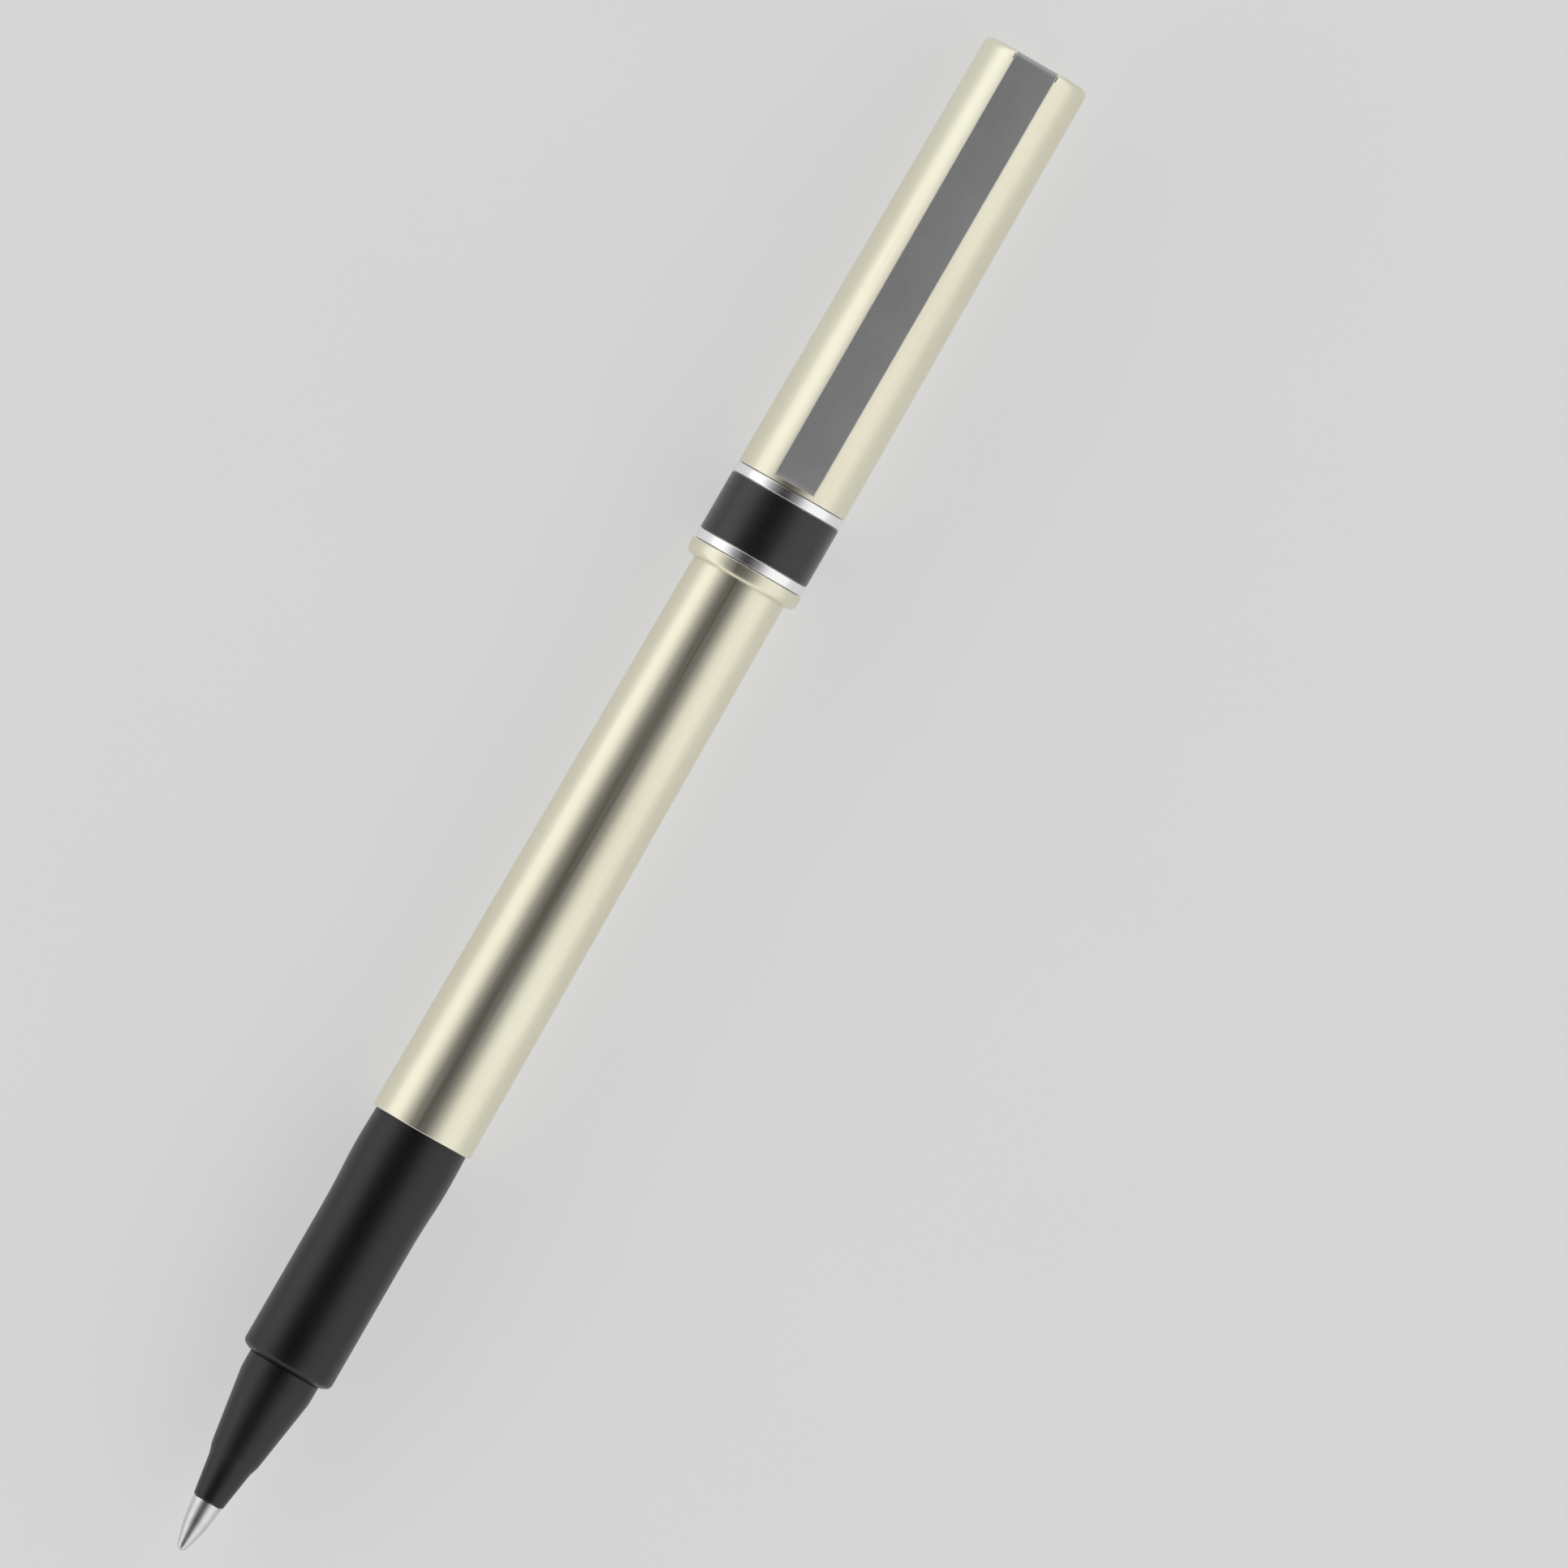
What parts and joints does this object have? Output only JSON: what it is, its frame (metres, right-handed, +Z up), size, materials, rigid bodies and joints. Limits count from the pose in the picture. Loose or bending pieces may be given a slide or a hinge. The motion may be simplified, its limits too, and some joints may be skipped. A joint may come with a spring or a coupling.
{
  "type": "rollerball pen",
  "caption": "Slim liquid-ink rollerball pen with a champagne metal barrel, black grip and nose, and its clip cap posted on the tail.",
  "frame": {"origin": "on the table, under the middle of the pen lying with its clip on top", "axes": "+X from the writing tip to the closed end of the cap, +Y across the pen, +Z up through the clip"},
  "size_m": [0.1582, 0.0116, 0.0124],
  "materials": {
    "champagne_metal": "satin anodised",
    "trim_chrome": "polished",
    "point_steel": "turned",
    "clip_steel": "matte dark grey",
    "black_band": "gloss",
    "black_plastic": "satin moulded",
    "tank_plastic": "translucent",
    "white_plastic": "moulded",
    "fibre": "bonded fibre",
    "ink": "liquid"
  },
  "bodies": {
    "barrel": {"tip_point": "point_steel", "tip_relay": "fibre", "feed_rod": "fibre", "nose_cone": "black_plastic", "collector": "white_plastic", "feed_holder": "white_plastic", "grip_section": "black_plastic", "barrel_tube": "champagne_metal", "ink_tank": "tank_plastic", "ink_charge": "ink", "tail_plug": "black_plastic"},
    "ball": {"tip_ball": "point_steel"},
    "cap": {"cap_tube": "champagne_metal", "upper_trim_ring": "trim_chrome", "black_band": "black_band", "lower_trim_ring": "trim_chrome", "mouth_ferrule": "champagne_metal", "friction_sleeve": "black_plastic", "inner_cap": "white_plastic", "cap_top_plug": "champagne_metal", "clip_retainer": "black_plastic", "clip_root": "clip_steel"},
    "clip": {"clip_arm": "clip_steel"}
  },
  "joints": [
    {"name": "cap_slide", "type": "slide", "parent": "barrel", "child": "cap", "axis": [1, 0, 0], "range_m": [0, 0.04]},
    {"name": "clip_flex", "type": "hinge", "parent": "cap", "child": "clip", "pos_m": [0.0768, 0, 0.01185], "axis": [0, 1, 0], "range_deg": [0, 4], "stiffness_Nm_per_rad": 0.45, "springref_deg": -1.15},
    {"name": "ball_roll", "type": "hinge", "parent": "barrel", "child": "ball", "pos_m": [-0.07875, 0, 0.00575], "axis": [0, 1, 0], "continuous": true}
  ]
}
